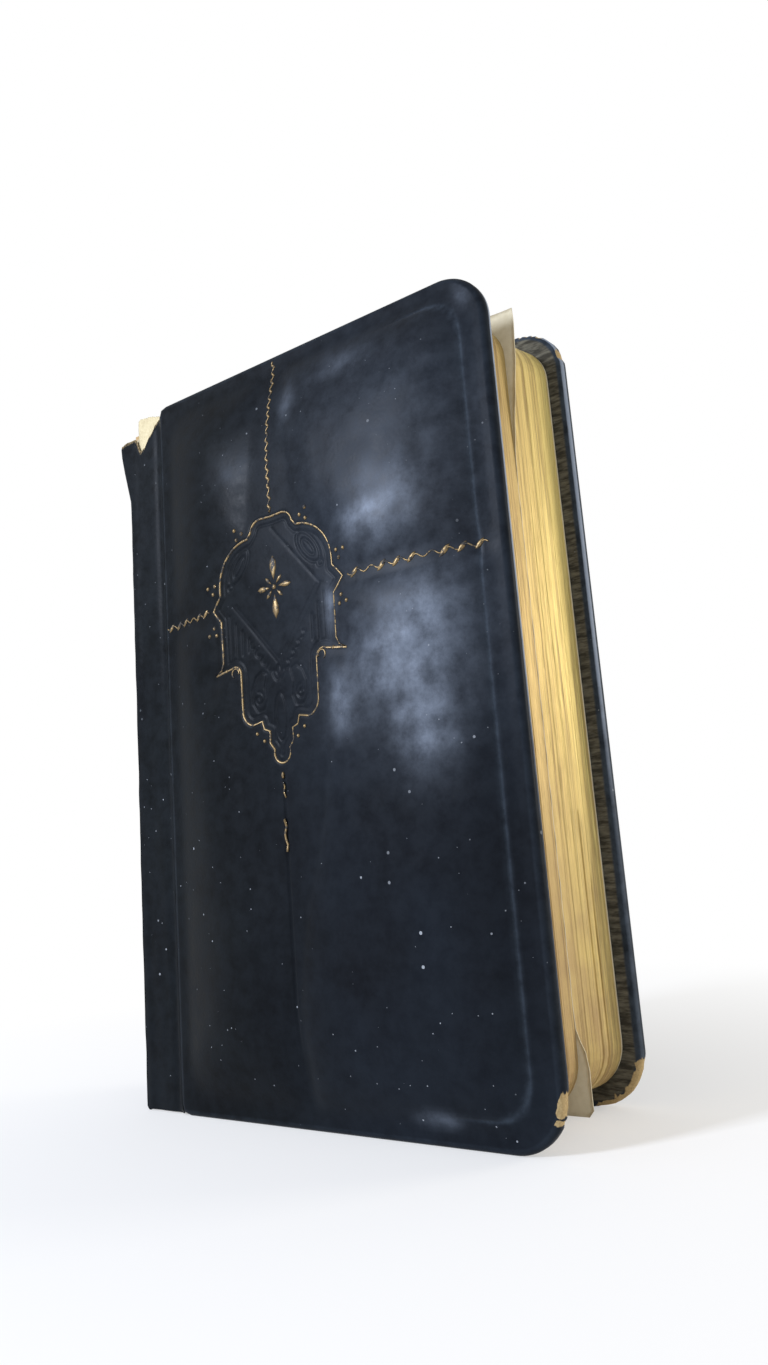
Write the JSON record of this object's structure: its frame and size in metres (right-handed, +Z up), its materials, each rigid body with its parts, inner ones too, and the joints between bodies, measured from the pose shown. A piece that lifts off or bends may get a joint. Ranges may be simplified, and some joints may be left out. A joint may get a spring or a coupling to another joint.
{
  "type": "antique leather book",
  "caption": "Thick antique prayer-book style volume: padded, gilt-tooled leather cover, rounded spine with a torn cap, gilt page edges and a loose leaf.",
  "frame": {"origin": "middle of the bounding box's foot, on the surface that the book stands on", "axes": "+Z up, from tail to head; +X from the spine to the fore-edge; -Y towards the padded front cover"},
  "size_m": [0.1208, 0.0418, 0.1706],
  "materials": {
    "cover_leather": "grained, glazed and worn",
    "gold_leaf": "satin, rubbed",
    "gilt_edged_paper": "paper with worn gilt edges",
    "leaf_paper": "foxed paper",
    "endpaper": "aged paper",
    "lining_cloth": "coarse cloth",
    "wadding": "felted wadding",
    "board": "rough pasteboard"
  },
  "bodies": {
    "book_block": {"text_block": "gilt_edged_paper", "front_flyleaf": "endpaper", "back_flyleaf": "endpaper", "spine_lining": "lining_cloth", "head_band": "lining_cloth", "tail_band": "lining_cloth", "hinge_lining": "leaf_paper", "spine_inlay": "board", "spine_leather": "cover_leather", "loose_leaf": "leaf_paper"},
    "front_cover": {"front_board": "board", "front_padding": "wadding", "front_leather": "cover_leather", "front_pastedown": "endpaper", "front_gilt": "gold_leaf"},
    "back_cover": {"back_board": "board", "back_leather": "cover_leather", "back_pastedown": "endpaper"}
  },
  "joints": [
    {"name": "front_cover_hinge", "type": "hinge", "parent": "book_block", "child": "front_cover", "pos_m": [-0.0446, -0.0152, 0.085], "axis": [0, 0, -1], "range_deg": [0, 175]},
    {"name": "back_cover_hinge", "type": "hinge", "parent": "book_block", "child": "back_cover", "pos_m": [-0.0446, 0.0208, 0.085], "axis": [0, 0, 1], "range_deg": [0, 175]}
  ]
}
